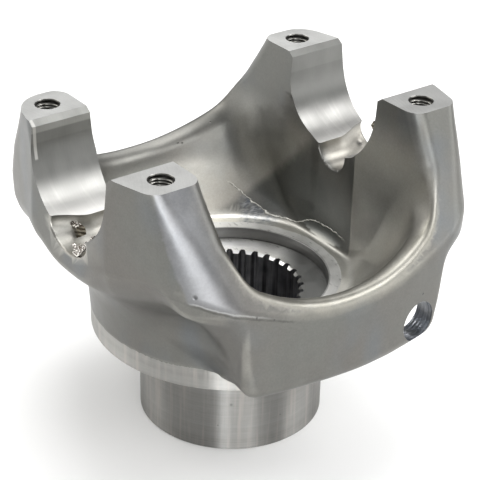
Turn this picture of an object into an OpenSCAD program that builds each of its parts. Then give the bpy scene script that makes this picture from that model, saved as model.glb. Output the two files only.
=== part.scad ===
// Forged end yoke for a universal joint, half-round strap type.
// One steel forging: a turned and splined hub, a round neck, two pads that
// close the bowl at front and back, and two ears that each end in two posts
// with a half-round seat between them for a bearing cup.
// Millimetres. +Z runs up from the hub's end face to the tops of the posts,
// X is the axis of the bearing seats, and the origin is the centre of the
// hub's end face.

/* [Hub and ring] */
// Diameter of the turned hub
hub_d = 78; // [74:0.5:84]
// Length of the turned hub, end face to ring
hub_h = 43; // [30:1:60]
// Diameter of the turned ring above the hub
ring_d = 118.6; // [110:0.2:120]
// Height of the turned ring
ring_h = 8.5; // [5:0.5:10]
// Diameter of the forged neck above the ring
neck_d = 121; // [121:0.5:124]
// Chamfer on the hub's end
hub_chamfer = 0.6; // [0.4:0.1:2]

/* [Spline bore] */
// Number of spline teeth
spline_n = 32; // [24:1:40]
// Diameter at the bottom of the spline grooves
spline_major = 60.2; // [58:0.1:62]
// Diameter over the spline tips
spline_minor = 55.9; // [52:0.1:57]
// Diameter of the counterbore that the nut sits in
seat_d = 80.4; // [76:0.2:88]
// Depth of the counterbore below the boss
seat_depth = 5.5; // [3:0.5:7]

/* [Ears] */
// Height of the post tops above the hub's end
top_z = 139.85; // [136:0.05:146]
// Outer faces of the ears, over both
ear_span = 156.8; // [150:0.2:162]
// Inner faces of the ears, across the gap at the post tops
ear_gap = 100.6; // [96:0.2:104]
// Front-to-back depth over the posts at their tops
post_depth = 102.8; // [98:0.2:108]
// Radius of the ridge between side and front face, at the post tops
ridge_r = 6; // [3:0.5:8]
// Growth of that radius for each millimetre down the ridge
ridge_grow = 0.32; // [0.1:0.02:0.34]
// How far the front and back faces flare for each millimetre down
flare = 0.535; // [0.45:0.005:0.6]
// How much lower the ears' underside is at their front and back corners
corner_drop = 5.5; // [0:0.5:7]

/* [Bearing seats] */
// Diameter of the bearing cup that the seats hold
cup_d = 55; // [50:0.5:57]
// Height of the bearing cup's axis
cup_z = 131.3; // [129:0.1:134]
// Radius of the relief groove at the bottom of each seat
relief_r = 8.2; // [6:0.1:9.5]
// Height of the relief groove's floor
relief_floor = 96.4; // [95:0.1:99]

/* [Strap holes] */
// Spacing of the tapped holes along the cup axis
strap_x = 124.2; // [122:0.1:126]
// Spacing of the tapped holes across the cup axis
strap_y = 79.6; // [76:0.1:82]
// Tap drill for the M10 x 1.25 strap bolts
tap_d = 8.8; // [8.5:0.05:9]
// Diameter of the chamfer at the mouth of each tapped hole
tap_mouth = 10.3; // [10:0.1:12]
// Full depth of the tapped holes
tap_depth = 28; // [20:1:32]

/* [Bowl and pads] */
// Front-to-back size over the pads
pad_span = 160; // [158:0.2:164]
// Rounding of the pads' upright corners
pad_corner_r = 7; // [3:0.5:9]
// Edge break along the pads' lower edge
pad_round = 4; // [2:0.5:6]
// Half width of each pad's end at the neck
pad_half = 41.8; // [38:0.2:46]
// Turn of each pad's end in plan
pad_turn = 10; // [6:1:14]
// Height of the lowest point of the rim above the hub's end
rim_z = 90.2; // [86:0.2:96]
// Radius of the bowl where it meets the flat boss
boss_r = 50.3; // [48:0.1:52]
// Radius of the upright recess above the boss, which cuts into both ears
recess_r = 51.4; // [50.4:0.1:53]
// Height of the flat boss around the counterbore
boss_z = 62.3; // [60:0.1:66]
// Diameter of the drilled cross hole in the front pad
cross_d = 17; // [14:0.2:18]
// Place of the cross hole along X
cross_x = 33.9; // [32:0.1:35]
// Height of the cross hole's axis
cross_z = 65.9; // [64:0.1:67]
// Thickness left in the front pad round the cross hole
cross_wall = 11; // [8:0.5:12]

/* [Hidden] */
$fn = 96;
eps = 0.02;
ring_z = hub_h;
neck_z = hub_h + ring_h;
ear_x = ear_span / 2;
gap_x = ear_gap / 2;
pad_y = pad_span / 2;
post_y = post_depth / 2;
cup_r = cup_d / 2;
side_c = 82.65 * ear_x / 78.4;      // distance of the 15 degree side planes
under_slope = 0.20;                 // rise of the pads' underside per mm out
pad_draft = 0.02;                   // draft of the pads' front faces
pad_end_draft = 3;                  // draft of the pads' ends, degrees
pad_top = 86;                       // height where the flared faces end
pad_facets = [[7, 16 * sin(7) + pad_y * cos(7)],
              [14, 40 * sin(14) + (pad_y - 24 * tan(7)) * cos(14)]];

// ---------- helpers ----------

// everything beyond the plane n . p = d, as a large block
module beyond(n, d) {
    m = n / norm(n);
    rotate([0, -asin(m[2]), atan2(m[1], m[0])])
        translate([d, -200, -200]) cube([400, 400, 400]);
}

// its children in all four quadrants of the plan
module four() {
    for (a = [0, 1]) for (b = [0, 1])
        mirror([a, 0, 0]) mirror([0, b, 0]) children();
}

// its children at front and back
module front_back() {
    for (b = [0, 1]) mirror([0, b, 0]) children();
}

// its children on both ears
module both_ears() {
    for (a = [0, 1]) mirror([a, 0, 0]) children();
}

// a point on an arc, and a run of such points
function on_arc(c, r, a) = [c[0] + r * cos(a), c[1] + r * sin(a)];
function arc(c, r, a0, a1, n) =
    [for (i = [0:n]) on_arc(c, r, a0 + (a1 - a0) * i / n)];

// ---------- outer form ----------

// section of the neck and of the underside of the ears, turned about Z:
// an upright wall, a hollow fillet and a 41 degree underside, which drop
// lowers
module neck_blank(drop = 0) {
    fil = 20;
    a = 41.4;
    r0 = neck_d / 2;
    // the fillet touches the wall, and the underside at the slope's angle
    zc = 92 - drop - (80 - r0 - fil * (1 - sin(a))) * tan(a) - fil * cos(a);
    p_end = on_arc([r0 + fil, zc], fil, 90 + a);
    rotate_extrude($fn = 180)
        polygon(concat(
            [[0, neck_z], [r0, neck_z]],
            arc([r0 + fil, zc], fil, 180, 90 + a, 8),
            [[112, p_end[1] + (112 - p_end[0]) * tan(a)], [112, top_z + 1], [0, top_z + 1]]));
}

// one pad: a block whose ends turn outwards, with an underside that rises
// gently from the ring
module pad_blank() {
    difference() {
        intersection() {
            translate([-70, -pad_y - 5, neck_z - eps]) cube([140, pad_y - 15, 60]);
            rotate_extrude($fn = 180)
                polygon([[0, neck_z - eps], [ring_d / 2, neck_z - eps],
                         [ring_d / 2, neck_z],
                         [130, neck_z + under_slope * (130 - ring_d / 2)],
                         [130, 112], [0, 112]]);
        }
        // drafted, turned ends
        both_ears()
            translate([pad_half, -43, neck_z])
                rotate([0, pad_end_draft, pad_turn]) translate([0, -200, -100]) cube([300, 400, 400]);
        // rounded upright corners, as three planes
        both_ears() mirror([0, 1, 0]) for (t = [0.2, 0.5, 0.8]) pad_corner(t);
    }
}

// plane that rounds the upright corner between a pad's end and its face
module pad_corner(t) {
    n0 = [cos(pad_turn) * cos(pad_end_draft), -sin(pad_turn) * cos(pad_end_draft), -sin(pad_end_draft)];
    n1 = [sin(14), cos(14), 0];
    d0 = [pad_half, 43, neck_z] * n0;
    d1 = pad_facets[1][1];
    // a point of the corner line at ring height, and the line's direction
    det = n0[0] * n1[1] - n0[1] * n1[0];
    c0 = d0 - n0[2] * neck_z;
    k = [(c0 * n1[1] - d1 * n0[1]) / det, (n0[0] * d1 - n1[0] * c0) / det, neck_z];
    m0 = n0 * (1 - t) + n1 * t;
    m = m0 / norm(m0);
    w = (n0 + n1) / (1 + n0 * n1);
    beyond(m, m * k - pad_corner_r * (m * w - 1));
}

// the forging before any machining: planes trim the blank
module forging() {
    difference() {
        union() {
            neck_blank();
            // the underside comes down further at the corners of the ears
            front_back() difference() {
                neck_blank(corner_drop);
                beyond([0, -0.68, -0.74], -105.7);
                beyond([0, -1, 0], -20);
            }
            front_back() pad_blank();
        }
        // top of the posts
        translate([-150, -150, top_z]) cube([300, 300, 50]);
        // outer faces, upright below and slightly drawn in near the top
        both_ears() {
            beyond([1, 0, 0], ear_x);
            beyond([1, 0, 0.11], (ear_x - 1.3 + 0.11 * top_z) / norm([1, 0, 0.11]));
        }
        // front and back faces, flared down to the pads
        front_back() {
            beyond([0, 1, flare], (post_y + flare * top_z) / norm([0, 1, flare]));
            beyond([0, 1, -pad_draft], (pad_y - pad_draft * pad_top) / norm([0, 1, -pad_draft]));
        }
        four() {
            // 15 degree side planes of the ears
            beyond([cos(15), sin(15), 0], side_c);
            // the pads' faces turn away in two steps towards the corners
            for (f = pad_facets) {
                beyond([sin(f[0]), cos(f[0]), 0], f[1]);
                edge_break([sin(f[0]), cos(f[0]), 0], f[1]);
            }
            // the lower edges of the pads are broken by a 45 degree plane
            edge_break([0, 1, 0], pad_y);
            // rounded ridge between side and flared face, wider further down
            ridge();
        }
    }
}

// 45 degree cut along the foot of an upright face with normal n at distance d
module edge_break(n, d) {
    foot = neck_z + under_slope * (d - ring_d / 2);
    m = [n[0], n[1], -1] / sqrt(2);
    beyond(m, (d - foot) / sqrt(2) - 0.414 * pad_round);
}

// planes that round the ridge where a side plane meets a flared face; the
// radius is ridge_r at the top and grows with the distance down the ridge
module ridge() {
    na = [cos(15), sin(15), 0];
    nb = [0, 1, flare] / norm([0, 1, flare]);
    k = [(side_c - post_y * sin(15)) / cos(15), post_y, top_z];
    c = cross(na, nb);
    e = c[2] > 0 ? -c / norm(c) : c / norm(c);
    w = (na + nb) / (1 + na * nb);
    for (t = [0.15, 0.38, 0.62, 0.85]) {
        m0 = na * (1 - t) + nb * t;
        m = m0 / norm(m0);
        q = m * w - 1;
        n = m + ridge_grow * q * e;
        beyond(n, (m * k - ridge_r * q + ridge_grow * q * (e * k)) / norm(n));
    }
}

// ---------- hollows ----------

// height of the rim at x, and the half width between the ears at height z
function rim_at(x) = rim_z + 13.6 * pow(x / 45, 2.2);
function half_gap(z) = gap_x - 2.2 * min(1, max(0, (top_z - z) / 28));

// outline of the gap between the ears, seen along Y, down to the rim line
module gap_profile() {
    right = [[half_gap(top_z), top_z + 2], [half_gap(top_z), top_z],
             [half_gap(126), 126], [half_gap(112), 112], [gap_x - 3.4, 107.3]];
    rim = [for (i = [0:12]) let (x = 45 - 7.5 * i) [x, rim_at(abs(x))]];
    polygon(concat(right, rim, [for (i = [len(right) - 1:-1:0]) [-right[i][0], right[i][1]]]));
}

module bowl() {
    // gap between the ears, open at front and back
    rotate([90, 0, 0]) linear_extrude(height = 220, center = true) gap_profile();
    // bowl below the rim: a cone, cut flat on the two ear sides, where the
    // upright round recess above the boss reaches a little further
    intersection() {
        rotate_extrude($fn = 180)
            polygon([[0, boss_z], [boss_r - 2.5, boss_z], [boss_r, boss_z + 1.2],
                     [boss_r + 17, boss_z + 19.7], [boss_r + 21.2, boss_z + 27.7],
                     [boss_r + 26.7, boss_z + 41.7], [boss_r + 28.7, boss_z + 49.7], [0, boss_z + 49.7]]);
        union() {
            translate([-half_gap(0), -100, boss_z]) cube([2 * half_gap(0), 200, 60]);
            cylinder(r = recess_r, h = 112);
        }
    }
}

// half-round seat, upright walls above it, and the edge breaks at the top
module seats() {
    rotate([0, 90, 0]) translate([-cup_z, 0, 0]) cylinder(r = cup_r, h = 200, center = true);
    translate([-100, -cup_r, cup_z]) cube([200, cup_d, 60]);
    b = 2.6;
    rotate([90, 0, 90]) linear_extrude(height = 200, center = true)
        polygon([[-cup_r - b, top_z], [-cup_r - b, top_z + 1], [cup_r + b, top_z + 1],
                 [cup_r + b, top_z], [cup_r, top_z - 1.9], [-cup_r, top_z - 1.9]]);
}

// relief groove under each seat, opening wider sideways towards the outside
module relief() {
    zc = relief_floor + relief_r;
    rotate([0, 90, 0]) translate([-zc, 0, 0]) cylinder(r = relief_r, h = 200, center = true);
    both_ears()
        translate([64, 0, zc]) rotate([0, 90, 0])
            linear_extrude(height = 15, scale = [0.93, 1.7], slices = 3) circle(r = relief_r, $fn = 36);
}

module strap_hole() {
    cylinder(d = tap_d, h = tap_depth + 1);
    translate([0, 0, -tap_d / 2 * tan(30)])
        cylinder(d1 = 0, d2 = tap_d, h = tap_d / 2 * tan(30) + eps / 10);
    translate([0, 0, tap_depth - (tap_mouth - tap_d) / 2])
        cylinder(d1 = tap_d, d2 = tap_mouth + 2, h = (tap_mouth - tap_d) / 2 + 1);
}

module spline_profile() {
    ro = spline_major / 2;
    ri = spline_minor / 2;
    s = 360 / spline_n;
    polygon([for (i = [0:spline_n - 1]) for (k = [0:3])
        let (a = s * (i + [-0.30, -0.13, 0.13, 0.30][k]),
             r = (k == 0 || k == 3) ? ri : ro)
        [r * cos(a), r * sin(a)]]);
}

module bore() {
    // splined bore, with a lead-in chamfer at each end
    translate([0, 0, -1]) linear_extrude(height = boss_z + 2) spline_profile();
    translate([0, 0, -eps]) cylinder(r1 = spline_major / 2 + 1, r2 = spline_minor / 2 - 0.2, h = 3.4);
    // counterbore for the nut, with a small edge break at its mouth
    translate([0, 0, boss_z - seat_depth]) cylinder(d = seat_d, h = 40);
    translate([0, 0, boss_z - seat_depth - 1.2])
        cylinder(r1 = spline_minor / 2 - 0.2, r2 = spline_minor / 2 + 1, h = 1.2 + eps);
}

// ---------- the part ----------

module yoke() {
    color([0.53, 0.53, 0.50])
    difference() {
        union() {
            // turned hub and ring
            rotate_extrude($fn = 180)
                polygon([[0, 0], [hub_d / 2 - hub_chamfer, 0], [hub_d / 2, hub_chamfer],
                         [hub_d / 2, ring_z], [ring_d / 2 - 0.4, ring_z],
                         [ring_d / 2, ring_z + 0.4], [ring_d / 2, neck_z], [0, neck_z]]);
            forging();
        }
        bowl();
        bore();
        seats();
        relief();
        for (x = [-1, 1]) for (y = [-1, 1])
            translate([x * strap_x / 2, y * strap_y / 2, top_z - tap_depth]) strap_hole();
        // cross hole, drilled from the front face along Y, and the round
        // pocket behind it, which is open below and at the pad's end
        translate([cross_x, -60, cross_z]) rotate([90, 0, 0]) cylinder(d = cross_d, h = 60);
        translate([cross_x, -55.5, cross_z - 5.9]) rotate([90, 0, 0])
            cylinder(r = 14.5, h = pad_y - cross_wall - 57);
    }
}

yoke();
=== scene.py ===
import math
import bpy
import numpy as np
import openvdb
from mathutils import Matrix, Vector


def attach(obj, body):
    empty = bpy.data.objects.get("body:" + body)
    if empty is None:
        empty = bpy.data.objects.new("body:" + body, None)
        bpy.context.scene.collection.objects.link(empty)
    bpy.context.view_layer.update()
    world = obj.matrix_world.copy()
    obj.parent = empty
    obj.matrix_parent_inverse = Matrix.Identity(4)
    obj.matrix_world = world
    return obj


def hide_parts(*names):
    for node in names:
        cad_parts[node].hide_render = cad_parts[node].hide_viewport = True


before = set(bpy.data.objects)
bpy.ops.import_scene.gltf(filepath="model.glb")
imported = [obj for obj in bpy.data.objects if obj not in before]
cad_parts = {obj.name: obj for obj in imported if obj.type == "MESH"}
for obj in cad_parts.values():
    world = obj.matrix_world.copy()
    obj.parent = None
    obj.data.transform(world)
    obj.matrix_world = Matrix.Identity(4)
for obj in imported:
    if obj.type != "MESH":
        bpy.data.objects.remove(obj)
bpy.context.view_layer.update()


# ---------------------------------------------------------------------------
# camera: the photo's view, 120.9 mm lens on a 36 mm square frame
# ---------------------------------------------------------------------------
cam = bpy.data.cameras.new("camera")
cam.lens = 120.9
cam.sensor_width = 36.0
cam.sensor_height = 36.0
cam.sensor_fit = "HORIZONTAL"
cam.clip_start = 0.05
cam.clip_end = 20.0
cam_o = bpy.data.objects.new("camera", cam)
bpy.context.scene.collection.objects.link(cam_o)
RIGHT = Vector((.8056, -.5922, .0184)).normalized()
FWD = Vector((.5260, .7006, -.4821)).normalized()
UP = RIGHT.cross(FWD).normalized()
RIGHT = FWD.cross(UP).normalized()
cam_o.matrix_world = Matrix((
    (RIGHT.x, UP.x, -FWD.x, -0.347545),
    (RIGHT.y, UP.y, -FWD.y, -0.467717),
    (RIGHT.z, UP.z, -FWD.z, 0.398550),
    (0, 0, 0, 1)))
bpy.context.scene.camera = cam_o

# ---------------------------------------------------------------------------
# the forging's skin as a distance field, in millimetres
# ---------------------------------------------------------------------------
TOP = 139.85          # post tops
EAR_X = 78.4          # outer faces of the ears
POST_Y = 51.4         # half depth over the posts at their tops
FLARE = 0.535         # flare of the front and back faces
NECK_R = 60.5
NECK_Z = 51.5
RING_R = 59.3
BOSS_Z = 62.3
BORE_R = 51.4         # upright recess above the boss
CUP_R = 27.5
CUP_Z = 131.3


def rmax(a, b, r, c=0.0):
    """Intersection with a rounded edge of radius r; c is the cosine between the two outward normals."""
    u = a + r
    v = b + r
    arc = (u - c * v > 0) & (v - c * u > 0)
    p = np.sqrt(np.maximum(u * u + v * v - 2 * c * u * v, 0) / (1 - c * c))
    return np.where(arc, p - r, np.maximum(a, b))


def rmin(a, b, r, c=0.0):
    """Union with a hollow fillet of radius r."""
    return -rmax(-a, -b, r, c)


def smin(a, b, k):
    """Union with a soft hollow blend about k deep, also where the forms' slopes vary."""
    h = np.maximum(k - np.abs(a - b), 0) / k
    return np.minimum(a, b) - h * h * k * 0.25


def step(lo, hi, v):
    t = np.clip((v - lo) / (hi - lo), 0.0, 1.0)
    return t * t * (3 - 2 * t)


def lattice(ix, iy, iz, seed):
    h = (ix * 374761393 + iy * 668265263 + iz * 2147483647 + seed * 1274126177) & 0xFFFFFFFF
    h = ((h ^ (h >> 13)) * 1274126177) & 0xFFFFFFFF
    h = h ^ (h >> 16)
    return (h & 0xFFFF).astype(np.float32) / 32767.5 - 1.0


def noise(x, y, z, size, seed=0):
    """Smooth value noise, about -1 to 1, with features of the given size."""
    fx, fy, fz = x / size, y / size, z / size
    ix, iy, iz = np.floor(fx).astype(np.int64), np.floor(fy).astype(np.int64), np.floor(fz).astype(np.int64)
    tx, ty, tz = fx - ix, fy - iy, fz - iz
    tx, ty, tz = [t * t * (3 - 2 * t) for t in (tx, ty, tz)]
    out = 0
    for a in (0, 1):
        for b in (0, 1):
            for c in (0, 1):
                w = (tx if a else 1 - tx) * (ty if b else 1 - ty) * (tz if c else 1 - tz)
                out = out + w * lattice(ix + a, iy + b, iz + c, seed)
    return out


def rim_height(ax):
    return 90.2 + 13.6 * np.power(ax / 45.0, 2.2)


def neck_radius(z):
    return NECK_R - 1.1 * step(66.0, 52.0, z)


def outer_form(x, y, z):
    """Everything outside: ears, side planes, flared faces, pads, neck and underside."""
    ax, ay = np.abs(x), np.abs(y)
    R = np.hypot(x, y)
    back = step(-8.0, 8.0, y)
    rear_left = back * step(8.0, -8.0, x)
    right = step(-8.0, 8.0, x)
    trim = 1.0 * rear_left * step(96.0, 134.0, z)
    outb = np.maximum(ax - EAR_X, (ax - (EAR_X - 1.3) + 0.11 * (z - TOP)) / 1.006) + trim
    side = 0.9659 * ax + 0.2588 * ay - 82.65 + trim
    o1 = rmax(outb, side, 10.0, 0.966)
    flared = (ay + FLARE * z - (POST_Y + FLARE * TOP) + 1.4 * step(118.0, 140.0, z)) / 1.134
    padf = np.hypot(ax, ay + 149.6) - 229.6
    front = rmax(flared, padf, 9.0, 0.88)
    down = np.clip((TOP - z) / 0.875, 0, 60)
    ridge = np.maximum(6.0 + (0.32 - 0.11 * right * (1 - back)) * down, 6.0 + 4.0 * back + 4.0 * rear_left)
    o = rmax(o1, front, ridge, 0.22)
    # underside of the ears, lower and with a narrow land towards the corners
    early = 10.5 * (right * (1 - back) + rear_left)
    corner = step(46.0 - early, 66.0 - early, ay)
    cone = (R - 80.0) * 0.6613 - (z - 92.0 + 2.6 * step(0.0, -25.0, x) * step(-45.0, -12.0, y) + (8.0 + 1.5 * right - 1.6 * rear_left) * corner) * 0.7501
    neck = smin(R - neck_radius(z), cone, 9.0)
    # ends and underside of the front and back pads
    endp = 0.969 * ax - 0.247 * ay - 30.05 + (0.06 + 0.10 * right) * np.clip(88.0 - z, 0.0, 40.0)
    pad = np.maximum(endp, 30.0 - ay)
    low = smin(neck, pad, 4.0 + 14.5 * step(51.0, 66.0, z) * step(78.0, 62.0, ay))
    under = (NECK_Z + 0.2 * np.maximum(R - RING_R, 0.0) - z) / 1.02
    low = rmax(low, under, 0.8 + 5.0 * step(63.0, 75.0, R), 0.0)
    wp = step(9.0, -2.0, endp)
    r_pad = 3.0 + 2.5 * step(74.0, 60.0, z) * (1 - 0.5 * right)
    r_ear = 1.6 + 4.4 * step(8.0, 26.0, ay) * step(62.0, 52.0, ay)
    return rmax(o, low, r_ear * (1 - wp) + r_pad * wp, 0.1)


def hollow_form(x, y, z):
    """The gap between the ears, the low rims, the bowl and its floor."""
    ax, ay = np.abs(x), np.abs(y)
    R = np.hypot(x, y)
    half = 50.3 - 2.2 * step(TOP + 4.0, 108.0, z)
    gx = ax - half
    slope = 0.665 * np.power(ax / 45.0, 1.2)
    rim = (rim_height(ax) - z) / np.sqrt(1 + slope * slope)
    t = z - BOSS_Z - 19.0
    wall_r = 50.0 + 0.93 * (z - BOSS_Z) - 0.48 * 0.5 * (t + np.sqrt(t * t + 16.0))
    wall = (R - wall_r) * 0.78
    boss = BOSS_Z - z
    bowl = rmax(wall, boss, 3.5, 0.6)
    v = rmin(rim, bowl, 7.0, 0.4)
    high = step(60.0, 82.0, z) * step(24.0, 50.0, ay)
    hollow = rmax(gx, v, 2.0 + 18.0 * high, 0.5 * high)
    # the round recess above the boss, which cuts a little into both ears
    ring = rmax(np.maximum(R - BORE_R, z - 116.0), boss, 7.0, 0.0)
    return smin(hollow, ring, 0.02 + 7.0 * step(2.0, 14.0, y) * step(67.0, 76.0, z))


def skin(x, y, z):
    """Signed distance to the forged skin, before machining."""
    ax, ay = np.abs(x), np.abs(y)
    outer = outer_form(x, y, z)
    hollow = hollow_form(x, y, z)
    post = step(108.0, 122.0, z)
    body = rmax(outer, -hollow, 3.6 + 2.4 * post, 0.4 * (1 - post))
    # relief groove under each seat, wider at its outer end
    flat = step(62.0, 79.0, ax)
    groove = np.hypot(y / (1 + 0.72 * flat), z - 104.6) - (8.4 - 0.7 * flat)
    groove = np.maximum(groove, 30.0 - ax)
    body = rmax(body, -groove, 0.6, 0.0)
    # round pocket behind the cross hole, open below and at the pad's end
    pocket = rmax(np.hypot(x - 33.9, z - 60.0) - 14.5, np.abs(y + 61.5) - 6.0, 1.0)
    return np.maximum(body, -pocket)


def field(x, y, z):
    """The skin with the slight unevenness of a blast-cleaned forging."""
    d = skin(x, y, z)
    d = d + 0.16 * noise(x, y, z, 23.0, 3) + 0.07 * noise(x, y, z, 9.0, 5) + 0.03 * noise(x, y, z, 3.5, 7)
    return d


def gradient(x, y, z, e=0.25):
    gx = field(x + e, y, z) - field(x - e, y, z)
    gy = field(x, y + e, z) - field(x, y - e, z)
    gz = field(x, y, z + e) - field(x, y, z - e)
    g = np.stack([gx, gy, gz], -1)
    return g / (2 * e)


def skin_mesh(h):
    lo = np.array([-82.0, -84.0, 48.0])
    hi = np.array([82.0, 84.0, 145.0])
    n = np.ceil((hi - lo) / h).astype(int) + 1
    axes = [(lo[i] + h * np.arange(n[i])).astype(np.float32) for i in range(3)]
    vol = np.empty(n, np.float32)
    for i0 in range(0, n[0], 24):
        X, Y, Z = np.meshgrid(axes[0][i0:i0 + 24], axes[1], axes[2], indexing="ij")
        vol[i0:i0 + 24] = skin(X, Y, Z)
    vol = np.clip(vol / h, -3, 3)
    grid = openvdb.FloatGrid()
    grid.background = 3.0
    grid.copyFromArray(vol)
    pts, quads = grid.convertToQuads(isovalue=0.0)
    p = lo + h * pts.astype(np.float64)
    for _ in range(4):
        d = field(p[:, 0], p[:, 1], p[:, 2])
        g = gradient(p[:, 0], p[:, 1], p[:, 2])
        gg = np.maximum((g * g).sum(-1), 0.2)
        stepv = np.clip(d / gg, -h, h)
        p = p - stepv[:, None] * g
    p[:, 0] = np.clip(p[:, 0], -EAR_X, EAR_X)
    p[:, 1] = np.clip(p[:, 1], -80.0, 80.0)
    return p, quads


def inside_box(ob):
    """Keeps the mesh within the outer faces that the sizes give."""
    co = np.zeros(len(ob.data.vertices) * 3, np.float32)
    ob.data.vertices.foreach_get("co", co)
    co = co.reshape(-1, 3)
    co[:, 0] = np.clip(co[:, 0], -EAR_X * 0.001, EAR_X * 0.001)
    co[:, 1] = np.clip(co[:, 1], -0.08, 0.08)
    ob.data.vertices.foreach_set("co", co.ravel())
    ob.data.update()


def to_object(name, verts_mm, faces, mats=()):
    me = bpy.data.meshes.new(name)
    me.from_pydata([tuple(v) for v in (np.asarray(verts_mm) * 0.001)], [], [tuple(int(i) for i in f) for f in faces])
    me.validate()
    me.update()
    ob = bpy.data.objects.new(name, me)
    bpy.context.scene.collection.objects.link(ob)
    for m in mats:
        me.materials.append(m)
    return ob


def from_arrays(name, verts_mm, quads):
    me = bpy.data.meshes.new(name)
    nv, nf = len(verts_mm), len(quads)
    k = quads.shape[1]
    me.vertices.add(nv)
    me.vertices.foreach_set("co", (np.asarray(verts_mm) * 0.001).astype(np.float32).ravel())
    me.loops.add(nf * k)
    me.loops.foreach_set("vertex_index", quads.astype(np.int32).ravel())
    me.polygons.add(nf)
    me.polygons.foreach_set("loop_start", np.arange(0, nf * k, k, dtype=np.int32))
    me.polygons.foreach_set("loop_total", np.full(nf, k, np.int32))
    me.update(calc_edges=True)
    ob = bpy.data.objects.new(name, me)
    bpy.context.scene.collection.objects.link(ob)
    return ob


# ---------------------------------------------------------------------------
# cutters and turned solids
# ---------------------------------------------------------------------------
def revolve(name, profile, seg=256, mat=None):
    """Closed solid turned about Z from (radius, height) points, first and last on the axis."""
    verts, rows = [], []
    for r, zz in profile:
        if r < 1e-9:
            rows.append([len(verts)])
            verts.append((0.0, 0.0, zz))
        else:
            rows.append(list(range(len(verts), len(verts) + seg)))
            a = 2 * np.pi * np.arange(seg) / seg
            verts += [(r * math.cos(t), r * math.sin(t), zz) for t in a]
    faces = []
    for p, q in zip(rows[:-1], rows[1:]):
        if len(p) == 1 and len(q) == 1:
            continue
        for i in range(seg):
            j = (i + 1) % seg
            if len(p) == 1:
                faces.append((p[0], q[j], q[i]))
            elif len(q) == 1:
                faces.append((p[i], p[j], q[0]))
            else:
                faces.append((p[i], p[j], q[j], q[i]))
    return outward(to_object(name, verts, faces, [mat] if mat else []))


def prism(name, outline, axis, lo, hi, mat=None):
    """Extrudes a closed outline along an axis; outline points are the other two coordinates in X, Y, Z order."""
    verts = []
    for t in (lo, hi):
        for a, b in outline:
            p = [a, b]
            p.insert(axis, t)
            verts.append(tuple(p))
    n = len(outline)
    faces = [tuple(range(n)), tuple(range(2 * n - 1, n - 1, -1))]
    faces += [(i, i + n, (i + 1) % n + n, (i + 1) % n) for i in range(n)]
    return outward(to_object(name, verts, faces, [mat] if mat else []))


def outward(ob):
    import bmesh
    bm = bmesh.new()
    bm.from_mesh(ob.data)
    bmesh.ops.recalc_face_normals(bm, faces=bm.faces)
    bm.to_mesh(ob.data)
    bm.free()
    return ob


def boolean(target, cutter, op):
    m = target.modifiers.new("b", "BOOLEAN")
    m.operation = op
    m.solver = "MANIFOLD"
    m.object = cutter
    m.material_mode = "TRANSFER"
    apply_all(target)
    bpy.data.objects.remove(cutter)


def apply_all(ob):
    dg = bpy.context.evaluated_depsgraph_get()
    me = bpy.data.meshes.new_from_object(ob.evaluated_get(dg), depsgraph=dg)
    old = ob.data
    ob.modifiers.clear()
    ob.data = me
    bpy.data.meshes.remove(old)


def thread_cutter(name, cx, cy, mat):
    """A tapped hole: 1.25 mm pitch turns near the mouth, plain below, 28 mm deep."""
    pitch, r_in, r_out, seg = 1.25, 4.42, 5.0, 40
    ztop, turns, rows = TOP + 1.0, 9, 6
    zs = [TOP - 28.0, TOP - 13.0]
    prof = []
    n = int(turns * rows)
    grid = []
    for i in range(n + 1):
        grid.append(TOP - 12.6 + i * pitch / rows)
    grid = [g for g in grid if g < TOP - 0.55]
    levels = [TOP - 28.0] + grid + [TOP - 0.42, TOP, ztop]
    verts, rowsi = [], []
    for k, zz in enumerate(levels):
        row = []
        for s in range(seg):
            a = 2 * math.pi * s / seg
            if k == 0:
                r = r_in
            elif k <= len(grid):
                ph = ((zz / pitch) - s / seg) % 1.0
                tri = 1 - abs(2 * ph - 1)
                r = r_in + (r_out - r_in) * min(1.0, max(0.0, tri * 1.45 - 0.22))
                if k == 1:
                    r = r_in
            elif k == len(grid) + 1:
                r = 4.72
            elif k == len(grid) + 2:
                r = 5.15
            else:
                r = 6.2
            row.append(len(verts))
            verts.append((cx + r * math.cos(a), cy + r * math.sin(a), zz))
        rowsi.append(row)
    tip = len(verts)
    verts.append((cx, cy, TOP - 28.0 - 2.5))
    cap = len(verts)
    verts.append((cx, cy, ztop))
    faces = []
    for p, q in zip(rowsi[:-1], rowsi[1:]):
        faces += [(p[i], p[(i + 1) % seg], q[(i + 1) % seg], q[i]) for i in range(seg)]
    faces += [(tip, rowsi[0][(i + 1) % seg], rowsi[0][i]) for i in range(seg)]
    faces += [(cap, rowsi[-1][i], rowsi[-1][(i + 1) % seg]) for i in range(seg)]
    return outward(to_object(name, verts, faces, [mat]))


def cross_cutter(mat):
    """The drilled cross hole, with the fine rings that the tool left."""
    seg = 72
    ys = np.arange(-50.0, -95.0, -0.45)
    verts, rows = [], []
    for i, yy in enumerate(ys):
        r = 8.5 + 0.07 * math.sin(2 * math.pi * yy / 1.7) + 0.03 * math.sin(2 * math.pi * yy / 0.9)
        row = []
        for s in range(seg):
            a = 2 * math.pi * s / seg
            row.append(len(verts))
            verts.append((33.9 + r * math.cos(a), yy, 65.9 + r * math.sin(a)))
        rows.append(row)
    faces = []
    for p, q in zip(rows[:-1], rows[1:]):
        faces += [(p[i], p[(i + 1) % seg], q[(i + 1) % seg], q[i]) for i in range(seg)]
    faces += [tuple(rows[0]), tuple(rows[-1])]
    return outward(to_object("c_cross", verts, faces, [mat]))


def arc_pts(cx, cy, r, a0, a1, n):
    return [(cx + r * math.cos(math.radians(a0 + (a1 - a0) * i / n)),
             cy + r * math.sin(math.radians(a0 + (a1 - a0) * i / n))) for i in range(n + 1)]


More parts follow.
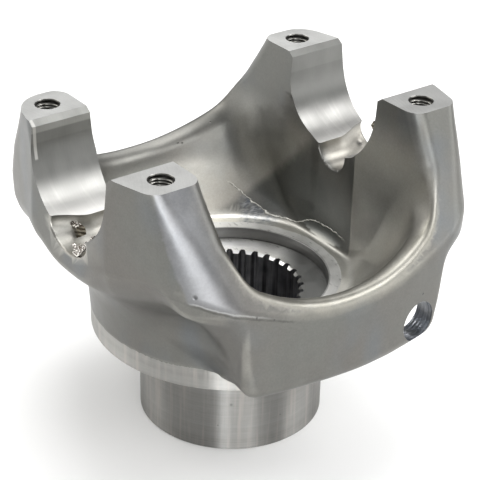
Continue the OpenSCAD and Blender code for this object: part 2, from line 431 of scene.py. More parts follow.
# ---------------------------------------------------------------------------
# materials; all patterns are in object space, in millimetres
# ---------------------------------------------------------------------------
class Nodes:
    """A small helper that writes node trees as expressions."""

    def __init__(self, name):
        self.mat = bpy.data.materials.new(name)
        self.mat.use_nodes = True
        self.nt = self.mat.node_tree
        self.bsdf = self.nt.nodes["Principled BSDF"]
        tc = self.nt.nodes.new("ShaderNodeTexCoord")
        sc = self.nt.nodes.new("ShaderNodeVectorMath")
        sc.operation = "SCALE"
        sc.inputs["Scale"].default_value = 1000.0
        self.nt.links.new(tc.outputs["Object"], sc.inputs[0])
        self.mm = sc.outputs[0]
        sep = self.nt.nodes.new("ShaderNodeSeparateXYZ")
        self.nt.links.new(self.mm, sep.inputs[0])
        self.x, self.y, self.z = sep.outputs

    def put(self, socket, v):
        if isinstance(v, bpy.types.NodeSocket):
            self.nt.links.new(v, socket)
        elif isinstance(v, tuple) and socket.type == "RGBA":
            socket.default_value = (*v, 1.0) if len(v) == 3 else v
        else:
            socket.default_value = v

    def math(self, op, a, b=0.0, c=0.0, clamp=False):
        n = self.nt.nodes.new("ShaderNodeMath")
        n.operation = op
        n.use_clamp = clamp
        for s, v in zip(n.inputs, (a, b, c)):
            self.put(s, v)
        return n.outputs[0]

    def vec(self, x, y, z):
        n = self.nt.nodes.new("ShaderNodeCombineXYZ")
        for s, v in zip(n.inputs, (x, y, z)):
            self.put(s, v)
        return n.outputs[0]

    def noise(self, size, detail=2.0, rough=0.55, vector=None, stretch=None):
        n = self.nt.nodes.new("ShaderNodeTexNoise")
        v = vector or self.mm
        if stretch:
            m = self.nt.nodes.new("ShaderNodeVectorMath")
            m.operation = "MULTIPLY"
            self.put(m.inputs[0], v)
            m.inputs[1].default_value = stretch
            v = m.outputs[0]
        self.put(n.inputs["Vector"], v)
        n.inputs["Scale"].default_value = 1.0 / size
        n.inputs["Detail"].default_value = detail
        n.inputs["Roughness"].default_value = rough
        return n.outputs["Fac"]

    def ramp(self, v, lo, hi, out0=0.0, out1=1.0, smooth=True):
        n = self.nt.nodes.new("ShaderNodeMapRange")
        n.interpolation_type = "SMOOTHSTEP" if smooth else "LINEAR"
        for s, a in zip(n.inputs, (v, lo, hi, out0, out1)):
            self.put(s, a)
        return n.outputs[0]

    def mix(self, f, a, b):
        n = self.nt.nodes.new("ShaderNodeMix")
        n.data_type = "RGBA"
        self.put(n.inputs[0], f)
        self.put(n.inputs[6], a)
        self.put(n.inputs[7], b)
        return n.outputs[2]

    def shade(self, col, k):
        """Multiplies a colour by a number."""
        n = self.nt.nodes.new("ShaderNodeVectorMath")
        n.operation = "SCALE"
        self.put(n.inputs[0], col)
        self.put(n.inputs["Scale"], k)
        return n.outputs[0]

    def attr(self, name):
        n = self.nt.nodes.new("ShaderNodeAttribute")
        n.attribute_name = name
        return n.outputs["Fac"]

    def spots(self, pts, r):
        """1 at the listed points, falling to 0 at radius r."""
        out = None
        for p in pts:
            n = self.nt.nodes.new("ShaderNodeVectorMath")
            n.operation = "DISTANCE"
            self.put(n.inputs[0], self.mm)
            n.inputs[1].default_value = p[:3]
            q = self.ramp(n.outputs["Value"], r * (p[3] if len(p) > 3 else 1.0), 0.0)
            out = q if out is None else self.math("MAXIMUM", out, q)
        return out

    def bump(self, h, strength, dist, below=None):
        n = self.nt.nodes.new("ShaderNodeBump")
        n.inputs["Strength"].default_value = strength
        n.inputs["Distance"].default_value = dist
        self.put(n.inputs["Height"], h)
        if below is not None:
            self.put(n.inputs["Normal"], below)
        return n.outputs[0]

    def radial_tangent(self, axis="Z"):
        n = self.nt.nodes.new("ShaderNodeTangent")
        n.direction_type = "RADIAL"
        n.axis = axis
        self.put(self.bsdf.inputs["Tangent"], n.outputs[0])

    def done(self, col, rough, normal=None, metal=1.0, **const):
        self.put(self.bsdf.inputs["Base Color"], col)
        self.put(self.bsdf.inputs["Roughness"], rough)
        self.bsdf.inputs["Metallic"].default_value = metal
        if normal is not None:
            self.put(self.bsdf.inputs["Normal"], normal)
        for k, v in const.items():
            self.bsdf.inputs[k.replace("_", " ")].default_value = v
        return self.mat


def skin_material():
    """Forged steel, fine-blasted: satin grey with slight clouds, brighter where it is rubbed, with painted highlights
    on its ridges and rims, painted light in the bowl and a painted shadow on the right ear.
    """
    n = Nodes("forged_skin")
    clouds = n.noise(38.0, 3.0)
    mid = n.noise(7.0, 4.0)
    fine = n.noise(0.9, 2.0)
    grain = n.noise(0.32, 1.0)
    col = n.mix(n.ramp(clouds, 0.36, 0.66), (0.146, 0.147, 0.137), (0.147, 0.142, 0.132))
    col = n.mix(n.ramp(n.noise(24.0, 2.0, stretch=(1.0, 1.0, 0.6)), 0.48, 0.74), col, (0.142, 0.149, 0.152))
    # rubbed and ground places, set by the form; the lighter convex edges are partly wear and partly a painted highlight
    edge = n.attr("edge")
    wear_and_highlight = n.math("MULTIPLY", edge, n.ramp(mid, 0.25, 0.65, 0.55, 1.0))
    col = n.mix(wear_and_highlight, col, (0.30, 0.295, 0.27))
    # painted light: the inside of the bowl and the relief grooves are made lighter
    painted_light_inner = n.attr("painted_light_inner")
    col = n.mix(painted_light_inner, col, n.mix(n.ramp(clouds, 0.4, 0.62), (0.345, 0.34, 0.315), (0.36, 0.345, 0.31)))
    # painted shadow low on the right ear and across the back corner of the bowl
    scale = n.attr("scale")
    col = n.mix(n.math("MULTIPLY", scale, 0.92), col, n.mix(n.ramp(clouds, 0.4, 0.62), (0.115, 0.12, 0.115), (0.135, 0.135, 0.128)))
    # painted light: a pale bowl floor, mostly on the left, and a lighter patch low at the front right of the bowl
    col = n.mix(n.attr("pale"), col, n.mix(n.ramp(clouds, 0.4, 0.62), (0.80, 0.79, 0.74), (0.75, 0.735, 0.68)))
    # painted highlight along the low rims, lighter at the front than at the back
    rim = n.attr("rim")
    col = n.mix(n.math("MULTIPLY", rim, n.ramp(n.noise(5.0, 3.0), 0.3, 0.7, 0.65, 0.95)), col,
                n.mix(n.ramp(n.y, 0.0, 20.0), (0.26, 0.252, 0.222), (0.18, 0.178, 0.165)))
    # painted highlight: a pale bluish band down the rounded ridge of the front-left ear, from a crisp edge, above the
    # trim line
    drop = n.math("SUBTRACT", 138.0, n.z)
    u = n.math("ADD", n.math("ADD", n.x, 71.3), n.math("MULTIPLY", n.math("MULTIPLY", drop, drop), -0.0034))
    over = n.math("SUBTRACT", n.z, n.math("SUBTRACT", 98.8, n.math("MULTIPLY", n.math("ADD", n.x, 60.0), 0.33)))
    over = n.math("ADD", over, n.math("MULTIPLY", n.math("SUBTRACT", n.noise(5.0, 3.0), 0.5), 1.6))
    u = n.math("ADD", u, n.math("MULTIPLY", n.math("SUBTRACT", n.noise(3.0, 3.0), 0.5), 1.4))
    face = n.math("MULTIPLY", n.ramp(n.x, -24.0, -34.0), n.ramp(n.y, -42.0, -46.0))
    band = n.math("MULTIPLY", n.math("MULTIPLY", n.ramp(u, -0.3, 0.9), n.ramp(u, 20.0, 8.0, 0.10, 1.0)), face)
    band = n.math("MULTIPLY", band, n.ramp(over, -0.2, 0.5))
    col = n.mix(n.math("MULTIPLY", band, 0.8), col, n.mix(n.ramp(mid, 0.3, 0.7), (0.180, 0.183, 0.191), (0.200, 0.203, 0.211)))
    # painted highlight: a thin bright line along the trim line
    painted_trim_highlight = n.math("MULTIPLY", n.ramp(n.math("ABSOLUTE", n.math("SUBTRACT", over, 0.5)), 0.55, 0.1), n.math("MULTIPLY", face, n.ramp(u, 0.0, 2.0)))
    painted_trim_highlight = n.math("MULTIPLY", painted_trim_highlight, n.ramp(n.x, -36.0, -48.0))
    col = n.mix(n.math("MULTIPLY", painted_trim_highlight, 0.45), col, (0.42, 0.42, 0.41))
    # painted shadow: a thin dark line under the trim line, broken by noise
    gap = n.math("MULTIPLY", n.ramp(n.math("ABSOLUTE", n.math("ADD", over, 0.6)), 0.7, 0.1), n.math("MULTIPLY", face, n.ramp(u, 0.0, 2.0)))
    gap = n.math("MULTIPLY", gap, n.ramp(n.noise(6.0, 2.0), 0.38, 0.55, 0.35, 1.0))
    col = n.mix(n.math("MULTIPLY", gap, 0.5), col, (0.06, 0.06, 0.058))
    # the thin flash line low in the bowl, and the drag marks between it and the boss
    azim = n.math("MULTIPLY", n.math("ARCTAN2", n.y, n.x), 57.2958)
    jag = n.math("MULTIPLY", n.math("SUBTRACT", n.noise(2.2, 3.0), 0.5), 1.9)
    zl = n.ramp(n.math("ABSOLUTE", n.math("SUBTRACT", azim, 28.0)), 6.0, 18.0, 63.9, 67.7)
    zl = n.math("ADD", zl, n.math("MULTIPLY", n.math("MAXIMUM", n.math("SUBTRACT", azim, 45.0), 0.0), 0.6))
    off = n.math("SUBTRACT", n.z, n.math("ADD", zl, jag))
    bowl = n.math("MULTIPLY", n.ramp(azim, -16.0, -8.0), n.ramp(azim, 58.0, 52.0))
    bowl = n.math("MULTIPLY", bowl, n.ramp(n.math("SQRT", n.math("ADD", n.math("POWER", n.x, 2.0), n.math("POWER", n.y, 2.0))), 62.0, 60.0))
    broken = n.ramp(n.noise(4.0, 2.0), 0.30, 0.46, 0.15, 1.0)
    bowl = n.math("MULTIPLY", bowl, n.attr("inside"))
    flash = n.math("MULTIPLY", n.ramp(n.math("ABSOLUTE", off), 0.38, 0.10), n.math("MULTIPLY", bowl, broken))
    below = n.math("MULTIPLY", n.math("MULTIPLY", n.ramp(off, 0.2, -0.6), n.ramp(azim, 53.0, 46.0)), n.ramp(azim, 27.0, 36.0))
    below = n.math("MULTIPLY", n.math("MULTIPLY", below, bowl), n.ramp(n.noise(3.0, 4.0), 0.35, 0.6, 0.35, 1.0))
    drag = n.noise(0.8, 4.0, vector=n.vec(n.math("ADD", n.math("MULTIPLY", n.y, 0.5), n.z), n.math("MULTIPLY", n.x, 0.35), 0.0))
    col = n.mix(n.math("MULTIPLY", below, 0.75), col, n.mix(n.ramp(drag, 0.4, 0.62), (0.13, 0.145, 0.17), (0.42, 0.43, 0.44)))
    col = n.mix(n.math("MULTIPLY", flash, 0.85), col, (0.74, 0.73, 0.68))
    k = n.math("MULTIPLY", n.ramp(mid, 0.2, 0.8, 0.93, 1.07, False), n.ramp(fine, 0.25, 0.75, 0.94, 1.06, False))
    k = n.math("MULTIPLY", k, n.ramp(grain, 0.25, 0.75, 0.965, 1.035, False))
    col = n.shade(col, k)
    pits = n.spots(PITS, 0.9)
    col = n.mix(n.math("MULTIPLY", pits, 0.75), col, (0.05, 0.05, 0.05))
    rough = n.ramp(mid, 0.2, 0.8, 0.355, 0.435, False)
    rough = n.math("SUBTRACT", rough, n.math("MULTIPLY", wear_and_highlight, 0.06))
    b1 = n.bump(mid, 0.35, 0.00012)
    b2 = n.bump(fine, 0.30, 0.000035, b1)
    b3 = n.bump(n.math("SUBTRACT", n.math("ADD", flash, n.math("MULTIPLY", n.ramp(over, -0.9, 0.3), n.math("MULTIPLY", face, 0.8))), pits), 0.8, 0.0003, b2)
    return n.done(col, rough, b3)


def turned_material():
    """Turned steel: fine feed lines round Z, a little uneven from one band to the next, with painted reflection streaks
    along Z and the ring painted lighter than the hub.
    """
    n = Nodes("turned")
    zline = n.vec(0.0, 0.0, n.z)
    feed = n.noise(0.42, 2.0, vector=zline)
    band = n.noise(3.4, 3.0, vector=zline)
    smear = n.noise(5.0, 3.0, stretch=(1.0, 1.0, 5.0))
    col = n.mix(n.ramp(band, 0.3, 0.7), (0.265, 0.262, 0.25), (0.305, 0.302, 0.29))
    # one deeper feed line under the ring and one near the end
    d1 = n.math("ABSOLUTE", n.math("SUBTRACT", n.z, 41.2))
    d2 = n.math("ABSOLUTE", n.math("SUBTRACT", n.z, 3.6))
    line = n.math("MAXIMUM", n.ramp(d1, 0.35, 0.05), n.math("MULTIPLY", n.ramp(d2, 0.3, 0.05), 0.5))
    col = n.mix(n.math("MULTIPLY", line, 0.55), col, (0.14, 0.135, 0.13))
    chips = n.spots([(-22.8, -31.6, 22.5), (-13.0, -36.8, 31.5, 0.8), (-27.0, -28.1, 12.0, 0.6), (-3.0, -38.9, 14.0, 0.5)], 1.0)
    col = n.mix(n.math("MULTIPLY", chips, 0.7), col, (0.10, 0.10, 0.10))
    col = n.shade(col, n.math("MULTIPLY", n.ramp(feed, 0.3, 0.7, 0.965, 1.03), n.ramp(smear, 0.3, 0.75, 0.95, 1.03)))
    ang = n.math("ARCTAN2", n.y, n.x)
    # painted reflection: warm light streaks along Z, like the bands that a turned face reflects
    reflection_streaks = n.noise(0.055, 3.0, vector=n.vec(ang, 0.0, n.math("MULTIPLY", n.z, 0.0012)))
    col = n.mix(n.ramp(reflection_streaks, 0.45, 0.75), col, (0.335, 0.315, 0.295))
    # painted light: the ring above z 43 is 1.4 times lighter than the hub below it
    col = n.shade(col, n.math("MULTIPLY", n.ramp(reflection_streaks, 0.3, 0.7, 0.955, 1.03), n.ramp(n.z, 42.9, 43.2, 1.0, 1.40)))
    rough = n.ramp(smear, 0.25, 0.75, 0.38, 0.45)
    b = n.bump(feed, 0.10, 0.00002)
    b = n.bump(n.math("MULTIPLY", n.math("MAXIMUM", line, chips), -1.0), 0.6, 0.0001, b)
    n.radial_tangent("Z")
    return n.done(col, rough, b, Anisotropic=1.0, Anisotropic_Rotation=0.25)


def milled_material():
    """Milled post tops: pale, with very faint arcs of the face mill; the front tops are painted darker than the back
    ones, as painted light.
    """
    n = Nodes("milled")
    r = n.math("SQRT", n.math("ADD", n.math("POWER", n.math("ADD", n.x, 160.0), 2.0), n.math("POWER", n.math("SUBTRACT", n.y, 15.0), 2.0)))
    arcs = n.noise(0.8, 2.0, vector=n.vec(r, 0.0, 0.0))
    haze = n.noise(9.0, 3.0)
    col = n.mix(n.ramp(haze, 0.3, 0.7), (0.395, 0.395, 0.385), (0.455, 0.455, 0.445))
    # painted light: the front post tops are darker than the back ones, more so on the right
    left = n.ramp(n.x, 20.0, -20.0)
    col = n.shade(col, n.mix(left, n.ramp(n.y, -30.0, 30.0, 0.69, 1.0), n.ramp(n.y, -30.0, 30.0, 0.78, 0.90)))
    col = n.shade(col, n.math("MULTIPLY", n.ramp(arcs, 0.3, 0.7, 0.96, 1.03), n.ramp(n.noise(0.5, 1.0), 0.3, 0.7, 0.97, 1.03)))
    rough = n.ramp(haze, 0.3, 0.7, 0.38, 0.48)
    return n.done(col, rough, n.bump(arcs, 0.18, 0.00002))


def seat_material():
    """Bored seats: fine lines round X, a few drag marks, painted light towards the foot."""
    n = Nodes("seat")
    xl = n.vec(n.x, 0.0, 0.0)
    feed = n.noise(0.5, 2.0, vector=xl)
    haze = n.noise(8.0, 3.0, stretch=(1.0, 0.5, 0.5))
    streak = n.noise(2.2, 3.0, vector=n.vec(n.math("ADD", n.x, n.math("MULTIPLY", n.y, 0.22)), n.math("MULTIPLY", n.y, 0.08), n.math("MULTIPLY", n.z, 0.08)))
    col = n.mix(n.ramp(haze, 0.3, 0.7), (0.150, 0.151, 0.144), (0.174, 0.175, 0.167))
    # painted light: the seats get lighter towards the foot
    low = n.ramp(n.z, 119.0, 104.5)
    # painted highlight on the top strip of the back-left seat
    chamfer_highlight = n.math("MULTIPLY", n.ramp(n.z, 134.8, 135.6), n.math("MULTIPLY", n.ramp(n.x, 20.0, -20.0), n.ramp(n.y, 0.0, 20.0)))
    col = n.shade(col, n.math("ADD", 1.0, n.math("MULTIPLY", chamfer_highlight, 0.55)))
    col = n.shade(col, n.ramp(n.z, 130.6, 131.4, 1.0, 1.13))
    col = n.mix(low, col, (0.43, 0.425, 0.41))
    # painted shade on the lower part of the right-hand seats
    col = n.shade(col, n.math("ADD", 1.0, n.math("MULTIPLY", n.ramp(n.x, -20.0, 20.0), n.ramp(n.z, 116.0, 128.0, -0.22, -0.02))))
    st = n.math("MULTIPLY", n.ramp(streak, 0.5, 0.7), low)
    col = n.mix(n.math("MULTIPLY", st, 0.16), col, (0.60, 0.59, 0.56))
    # painted highlight: two small glints at the foot of the seats, on the relief groove lips
    lip_glints = n.spots([(70.5, -7.0, 104.8, 1.0), (-71.0, 9.0, 105.0, 0.7)], 0.9)
    col = n.mix(lip_glints, col, (0.75, 0.74, 0.71))
    col = n.shade(col, n.ramp(feed, 0.3, 0.7, 0.975, 1.02))
    # two short upright witness marks near the outer edge of the rear left seat
    m = n.math("MULTIPLY", n.ramp(n.math("ABSOLUTE", n.math("ADD", n.x, 75.2)), 0.9, 0.4), n.ramp(n.z, 124.0, 125.0))
    m = n.math("MULTIPLY", m, n.ramp(n.y, 10.0, 12.0))
    col = n.mix(n.math("MULTIPLY", m, 0.5), col, (0.70, 0.69, 0.66))
    rough = n.ramp(haze, 0.3, 0.7, 0.34, 0.42)
    return n.done(col, rough, n.bump(feed, 0.08, 0.00002))


def bore_material():
    """Broached splines: dark oily flanks with lengthwise lines."""
    n = Nodes("spline")
    ang = n.math("ARCTAN2", n.y, n.x)
    lines = n.noise(0.012, 2.0, vector=n.vec(ang, 0.0, n.math("MULTIPLY", n.z, 0.0006)))
    patch = n.noise(6.0, 3.0)
    col = n.mix(n.ramp(patch, 0.3, 0.7), (0.20, 0.20, 0.21), (0.30, 0.30, 0.31))
    col = n.shade(col, n.ramp(lines, 0.3, 0.7, 0.75, 1.25))
    return n.done(col, n.ramp(patch, 0.3, 0.7, 0.34, 0.5), n.bump(lines, 0.3, 0.00003))


def boss_material():
    """Counterbore and boss: turned rings, scuffed, with painted shade and painted highlights in the counterbore."""
    n = Nodes("boss")
    r = n.math("SQRT", n.math("ADD", n.math("POWER", n.x, 2.0), n.math("POWER", n.y, 2.0)))
    rings = n.noise(0.5, 2.0, vector=n.vec(r, n.z, 0.0))
    haze = n.noise(6.0, 4.0)
    scuff = n.noise(1.4, 3.0, stretch=(1.0, 0.35, 1.0))
    col = n.mix(n.ramp(haze, 0.3, 0.7), (0.84, 0.835, 0.815), (0.92, 0.915, 0.895))
    col = n.mix(n.math("MULTIPLY", n.ramp(scuff, 0.56, 0.70), 0.5), col, (0.26, 0.26, 0.26))
    # the counterbore: painted shade on its wall, a painted highlight band round its floor, a painted dark reflection on
    # the right of the floor
    wall = n.math("MULTIPLY", n.ramp(r, 39.3, 40.0), n.ramp(n.z, 62.3, 61.7))
    wall = n.math("MULTIPLY", wall, n.ramp(r, 40.95, 40.7))
    band = n.math("MULTIPLY", n.ramp(n.math("ABSOLUTE", n.math("SUBTRACT", r, 34.3)), 4.6, 0.6), n.ramp(n.z, 60.0, 59.0))
    col = n.mix(band, n.shade(col, n.ramp(n.z, 59.0, 60.0, 0.97, 1.0)), (0.95, 0.95, 0.94))
    dark_reflection = n.math("MULTIPLY", n.ramp(n.math("SUBTRACT", n.x, n.math("MULTIPLY", n.y, 0.85)), 22.0, 37.0), n.ramp(n.z, 60.0, 59.0))
    col = n.mix(n.math("MULTIPLY", dark_reflection, 0.91), col, (0.135, 0.137, 0.133))
    col = n.mix(n.math("MULTIPLY", wall, 0.94), col, (0.13, 0.13, 0.128))
    # painted highlight on the tooth edges, fading where the dark reflection is painted
    edge = n.math("MULTIPLY", n.ramp(n.math("ABSOLUTE", n.math("SUBTRACT", r, 28.4)), 1.0, 0.4), n.ramp(n.z, 57.4, 57.0))
    col = n.mix(n.math("MULTIPLY", edge, n.math("SUBTRACT", 1.0, dark_reflection)), col, (0.90, 0.90, 0.89))
    col = n.shade(col, n.ramp(n.z, 61.5, 61.9, 1.0, 0.70))
    col = n.shade(col, n.ramp(rings, 0.3, 0.7, 0.95, 1.04))
    return n.done(col, n.ramp(haze, 0.25, 0.75, 0.36, 0.46), n.bump(rings, 0.16, 0.00003))


def burr_material():
    """Torn and rolled-over metal: dark drag lines across bright folds."""
    n = Nodes("burr")
    slope = n.math("ADD", n.math("ADD", n.math("MULTIPLY", n.x, 0.5), n.z), n.math("MULTIPLY", n.y, 0.3))
    folds = n.math("SINE", n.math("ADD", n.math("MULTIPLY", slope, 3.6), n.math("MULTIPLY", n.noise(2.0, 3.0), 5.0)))
    tears = n.noise(0.8, 3.0)
    col = n.mix(n.ramp(folds, -0.5, 0.7), (0.15, 0.13, 0.10), (0.38, 0.35, 0.29))
    bright = n.math("MAXIMUM", n.ramp(n.math("ADD", n.x, 0.0), -75.5, -77.0), n.ramp(n.z, 101.8, 102.4))
    col = n.mix(n.math("MULTIPLY", bright, n.ramp(n.x, 0.0, -10.0)), col, n.mix(n.ramp(tears, 0.50, 0.58), (0.12, 0.10, 0.085), (0.86, 0.84, 0.79)))
    return n.done(col, n.ramp(tears, 0.3, 0.7, 0.3, 0.5), n.bump(folds, 0.5, 0.0002))


def hole_material():
    """Drilled cross hole: bluish rings left by the drill."""
    n = Nodes("hole")
    rings = n.noise(0.9, 2.0, vector=n.vec(0.0, n.y, 0.0))
    haze = n.noise(4.0, 3.0)
    col = n.mix(n.ramp(rings, 0.35, 0.65), (0.42, 0.44, 0.48), (0.70, 0.72, 0.76))
    col = n.shade(col, n.ramp(haze, 0.3, 0.7, 0.85, 1.1))
    return n.done(col, n.ramp(haze, 0.3, 0.7, 0.28, 0.4), n.bump(rings, 0.3, 0.00006))


def thread_material():
    """Tapped threads: dark flanks, lighter crests and mouth, uneven in tone."""
    n = Nodes("thread")
    haze = n.noise(2.0, 3.0)
    cx = n.math("SUBTRACT", n.math("ABSOLUTE", n.x), 62.1)
    cy = n.math("SUBTRACT", n.math("ABSOLUTE", n.y), 39.8)
    r = n.math("SQRT", n.math("ADD", n.math("POWER", cx, 2.0), n.math("POWER", cy, 2.0)))
    crest = n.ramp(r, 4.72, 4.46)
    mouth = n.ramp(r, 4.98, 5.1)
    col = n.mix(crest, (0.085, 0.083, 0.078), (0.36, 0.355, 0.33))
    col = n.mix(mouth, col, (0.40, 0.40, 0.38))
    col = n.shade(col, n.ramp(haze, 0.3, 0.7, 0.8, 1.15))
    return n.done(col, n.ramp(haze, 0.3, 0.7, 0.28, 0.42), n.bump(haze, 0.15, 0.00004))


# small pits and nicks on the skin, in millimetres, with a size factor
PITS = [(-44.7, -75.5, 93.9, 1.0), (-37.8, -76.8, 91.3, 0.7), (-64.6, -64.9, 103.9, 1.4), (35.5, -77.2, 77.8, 0.9),
        (48.5, 17.1, 93.8, 0.6), (48.1, 20.1, 105.6, 0.9), (35.6, 66.8, 96.7, 0.6), (19.6, 68.8, 89.8, 0.7),
        (21.3, 68.1, 89.6, 0.7), (74.0, 8.6, 98.8, 2.6)]

M_SKIN = skin_material()
M_TURN = turned_material()
M_MILL = milled_material()
M_SEAT = seat_material()
M_BORE = bore_material()
M_BOSS = boss_material()
M_HOLE = hole_material()
M_THRD = thread_material()
M_BURR = burr_material()


# ---------------------------------------------------------------------------
# build the yoke
# ---------------------------------------------------------------------------
def build():
    h = 1.0
    pts, quads = skin_mesh(h)
    ob = from_arrays("yoke_forging", pts, quads)
    outward(ob)
    ob.data.materials.append(M_SKIN)
    tris = 2 * len(quads)
    budget = 110000
    if tris > budget:
        m = ob.modifiers.new("d", "DECIMATE")
        m.ratio = budget / tris
        m.use_collapse_triangulate = True
        apply_all(ob)
        inside_box(ob)
    print("SKIN", len(pts), tris, "->", len(ob.data.polygons))

    hub = revolve("hub", [(0, 0), (38.4, 0), (39.0, 0.6), (39.0, 42.4), (39.6, 43.0), (58.9, 43.0),
                          (59.3, 43.4), (59.3, 53.0), (0, 53.0)], 256, M_TURN)
    boolean(ob, hub, "UNION")
    boolean(ob, prism("c_top", [(-100, -100), (100, -100), (100, 100), (-100, 100)], 2, TOP, TOP + 30, M_MILL), "DIFFERENCE")
    # seats: half round, upright walls, edge breaks at the top
    seat = [(-CUP_R - 2.6 - 1.4, TOP + 1.023), (-CUP_R, 137.95)]
    seat += arc_pts(0, CUP_Z, CUP_R, 180, 360, 96)
    seat += [(CUP_R, 137.95), (CUP_R + 2.6 + 1.4, TOP + 1.023), (CUP_R + 4, TOP + 20), (-CUP_R - 4, TOP + 20)]
    boolean(ob, prism("c_seat", seat, 0, -100, 100, M_SEAT), "DIFFERENCE")
    # bore: lead-in chamfer, splines, counterbore with its small edge break
    n = 32
    ring = []
    for i in range(n):
        for k, (a, r) in enumerate([(-0.30, 27.95), (-0.13, 30.1), (0.13, 30.1), (0.30, 27.95)]):
            t = 2 * math.pi * (i + a) / n
            ring.append((r * math.cos(t), r * math.sin(t)))
    boolean(ob, prism("c_spline", ring, 2, -2, 66, M_BORE), "DIFFERENCE")
    boolean(ob, revolve("c_lead", [(0, -1), (32.1, -1), (31.1, 0), (27.75, 3.4), (0, 3.4)], 192, M_TURN), "DIFFERENCE")
    boolean(ob, revolve("c_seatn", [(0, 55.6), (27.75, 55.6), (29.0, 56.8), (40.2, 56.8), (40.2, 61.9), (40.9, 62.6),
                                    (40.9, 80.0), (0, 80.0)], 256, M_BOSS), "DIFFERENCE")
    boolean(ob, revolve("c_boss", [(0, 62.0), (44.2, 62.0), (45.4, 62.25), (46.2, 66.0), (0, 66.0)], 256, M_BOSS), "DIFFERENCE")
    for sx in (-1, 1):
        for sy in (-1, 1):
            boolean(ob, thread_cutter("c_thread", sx * 62.1, sy * 39.8, M_THRD), "DIFFERENCE")
    boolean(ob, cross_cutter(M_HOLE), "DIFFERENCE")
    # burrs left where the relief grooves break out of the ears
    fold = [(-71.0, 102.6), (-70.0, 103.3), (-68.2, 103.1), (-66.8, 101.4), (-66.2, 97.4), (-66.6, 94.0), (-68.3, 93.8),
            (-69.6, 95.0), (-70.6, 97.2), (-70.2, 100.0)]
    boolean(ob, prism("c_fold", fold, 1, 6.0, 10.6, M_BURR), "UNION")
    curl = [(-19.6, 112.7), (-15.9, 108.4), (-12.1, 103.6), (-8.6, 99.6), (-5.6, 97.0), (-3.0, 98.4), (-4.6, 99.6),
            (-3.0, 101.8), (-5.4, 101.2), (-7.6, 103.4), (-8.6, 101.9), (-12.6, 107.2), (-13.6, 106.0), (-17.6, 111.6)]
    boolean(ob, prism("c_curl", curl, 0, -78.2, -77.0, M_BURR), "UNION")
    tear = [(-29.4, 134.6), (-29.0, 128.6), (-28.4, 125.2), (-25.0, 124.6), (-23.9, 126.0), (-25.4, 128.4), (-26.6, 129.0)]
    boolean(ob, prism("c_tear", tear, 0, 50.6, 52.2, M_BURR), "UNION")
    return ob


def skin_masks(ob):
    """Per-vertex masks for the skin's material: rubbed edges that also carry a painted highlight, a painted highlight
    on the low rims, painted light inside the bowl and on its floor, and a painted shadow on the right ear.
    """
    me = ob.data
    co = np.zeros(len(me.vertices) * 3)
    me.vertices.foreach_get("co", co)
    x, y, z = (co.reshape(-1, 3) * 1000).T
    e = 1.6
    lap = -6.0 * skin(x, y, z)
    for dx, dy, dz in ((e, 0, 0), (-e, 0, 0), (0, e, 0), (0, -e, 0), (0, 0, e), (0, 0, -e)):
        lap = lap + skin(x + dx, y + dy, z + dz)
    curve = lap / (e * e)
    # convex edges: partly rubbed wear, partly a painted highlight along the ridges
    edge = np.clip((curve - 0.10) / 0.55, 0, 1)
    edge = edge * (1 - step(63.0, 57.0, np.hypot(x, y)) * step(112.0, 106.0, z))
    hollow = np.abs(hollow_form(x, y, z))
    ax = np.abs(x)
    # painted highlight along the low rims and the front-left rim
    rim = step(7.5, 2.0, hollow) * step(0.02, 0.12, curve) * step(50.0, 44.0, ax) * step(118.0, 100.0, z)
    rim = rim * step(53.0, 57.0, np.hypot(x, y))
    # painted light on the bowl floor and low at the front right of the bowl
    floor = step(53.0, 50.0, np.hypot(x, y)) * step(66.0, 63.0, z)
    lit = step(3.0, 0.6, hollow) * step(20.0, 40.0, x) * step(-18.0, -28.0, y) * step(100.0, 84.0, z)
    pale = np.maximum(0.8 * floor * step(52.0, 30.0, x), 0.38 * lit)
    # painted light inside the bowl and along the relief grooves, held back high on the back wall
    painted_light_inner = step(3.2, 0.6, hollow) * step(0.0, -6.0, ax - 54.0) * step(118.0, 100.0, z - 19.0 * step(0.0, -20.0, y))
    rim = np.maximum(rim, 0.75 * step(4.2, 1.0, hollow) * step(-46.0, -52.0, y) * step(96.0, 104.0, z) * step(0.0, -10.0, x))
    flat = step(62.0, 79.0, ax)
    groove = np.abs(np.hypot(y / (1 + 0.72 * flat), z - 104.6) - (8.4 - 0.7 * flat))
    painted_light_inner = np.maximum(painted_light_inner, 0.85 * step(1.1, 0.4, groove) * step(46.0, 49.0, ax) * step(107.0, 104.0, z))
    painted_light_inner = painted_light_inner * (1 - 0.85 * step(76.0, 87.0, z) * step(46.0, 40.0, ax) * step(0.0, 10.0, y))
    # painted shadow low on the right ear, up to a slanting line across the back corner
    slant = 0.271 * x - 0.671 * y - 0.691 * z + 67.2
    scale = step(-2.2, 2.6, slant) * step(4.0, 1.0, hollow) * step(12.0, 24.0, x)
    scale = scale * (1 - (0.95 - 0.35 * step(78.0, 92.0, z)) * step(-17.6, -18.6, y)) * step(-60.0, -30.0, y) * step(62.6, 64.5, z) * step(118.0, 104.0, z)
    for name, v in (("edge", edge), ("rim", rim), ("painted_light_inner", painted_light_inner), ("scale", scale), ("pale", pale), ("inside", step(6.0, 2.0, hollow))):
        a = me.attributes.new(name, "FLOAT", "POINT")
        a.data.foreach_set("value", np.asarray(v, np.float32))


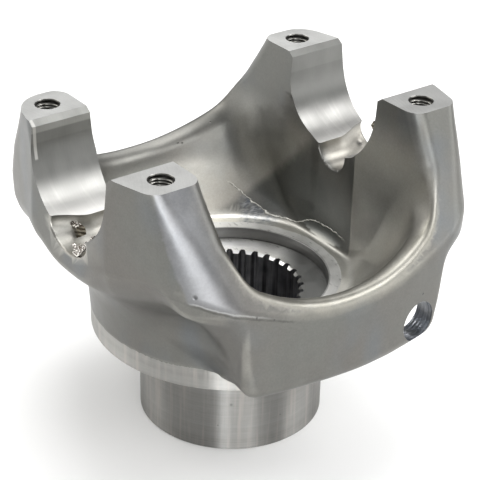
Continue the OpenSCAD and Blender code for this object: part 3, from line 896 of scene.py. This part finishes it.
def finish_normals(ob):
    """Smooth normals from the distance field on the skin, and plain ones on machined faces."""
    me = ob.data
    nf, nl = len(me.polygons), len(me.loops)
    mat = np.zeros(nf, np.int32)
    me.polygons.foreach_get("material_index", mat)
    tot = np.zeros(nf, np.int32)
    me.polygons.foreach_get("loop_total", tot)
    vi = np.zeros(nl, np.int32)
    me.loops.foreach_get("vertex_index", vi)
    co = np.zeros(len(me.vertices) * 3)
    me.vertices.foreach_get("co", co)
    co = co.reshape(-1, 3) * 1000
    names = [m.name for m in me.materials]
    me.polygons.foreach_set("use_smooth", np.ones(nf, bool))
    me.set_sharp_from_angle(angle=math.radians(28))
    nor = np.zeros(nl * 3, np.float32)
    me.corner_normals.foreach_get("vector", nor)
    nor = nor.reshape(-1, 3)
    fn = np.zeros(nf * 3, np.float32)
    me.polygons.foreach_get("normal", fn)
    fn = np.repeat(fn.reshape(-1, 3), tot, axis=0)
    is_skin = np.repeat(mat == names.index(M_SKIN.name), tot)
    g = gradient(co[:, 0], co[:, 1], co[:, 2])
    g = g / np.maximum(np.linalg.norm(g, axis=1), 1e-9)[:, None]
    gl = g[vi]
    ok = is_skin & ((gl * fn).sum(1) > 0.72)
    nor = np.where(ok[:, None], gl, nor)
    me.normals_split_custom_set(nor.astype(np.float64).tolist())
    return names


yoke = build()
skin_masks(yoke)
print("MATS", finish_normals(yoke), "TRIS", sum(len(p.vertices) - 2 for p in yoke.data.polygons))
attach(yoke, "root")
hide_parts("yoke")

# ---------------------------------------------------------------------------
# floor, lights and world
# ---------------------------------------------------------------------------
def floor_mat():
    n = Nodes("floor")
    haze = n.noise(400.0, 2.0)
    col = n.mix(n.ramp(haze, 0.3, 0.7), (0.90, 0.90, 0.895), (0.92, 0.92, 0.915))
    n.bsdf.inputs["Specular IOR Level"].default_value = 0.0
    return n.done(col, 0.9, None, 0.0)


fl = to_object("floor", [(-4000, -4000, 0), (4000, -4000, 0), (4000, 4000, 0), (-4000, 4000, 0)], [(0, 1, 2, 3)], [floor_mat()])


def area(name, loc, target, size, power, col=(1, 1, 1)):
    li = bpy.data.lights.new(name, "AREA")
    li.shape = "RECTANGLE"
    li.size, li.size_y = size
    li.energy = power
    li.color = col
    o = bpy.data.objects.new(name, li)
    o.location = loc
    d = Vector(target) - Vector(loc)
    o.rotation_euler = d.to_track_quat("-Z", "Y").to_euler()
    bpy.context.scene.collection.objects.link(o)
    return o


def around(name, az, el, size, power, dist=1.2, col=(1, 1, 1)):
    """A soft box at an azimuth and elevation round the object."""
    a, e = math.radians(az), math.radians(el)
    d = Vector((math.cos(a) * math.cos(e), math.sin(a) * math.cos(e), math.sin(e)))
    return area(name, Vector((0, 0, 0.08)) + d * dist, (0, 0, 0.08), size, power, col)


around("front", 243, 9, (1.8, 1.1), 31.0, 2.4)
around("front_high", 268, 42, (1.1, 1.1), 15.0, 2.4)
around("left_back_high", 124, 44, (1.3, 1.3), 16.0, 2.4, (1.0, 0.985, 0.95))
around("left_back_low", 134, 8, (1.7, 0.9), 3.4, 2.4)
around("right_high", 322, 46, (1.0, 1.0), 22.0, 2.4)
around("right_low", 320, 10, (1.9, 0.9), 15.0, 2.4)
around("back_right", 52, 46, (1.7, 1.3), 17.0, 2.4)
around("top", 60, 78, (1.3, 1.3), 24.0, 2.4)
around("front_small", 227, 11, (0.5, 0.5), 8.5, 2.4, (0.94, 0.97, 1.0))

w = bpy.data.worlds.new("world")
bpy.context.scene.world = w
w.use_nodes = True
w.node_tree.nodes["Background"].inputs["Color"].default_value = (1, 1, 1, 1)
w.node_tree.nodes["Background"].inputs["Strength"].default_value = 0.42
bpy.context.scene.view_settings.view_transform = "Standard"
bpy.context.scene.view_settings.look = "None"
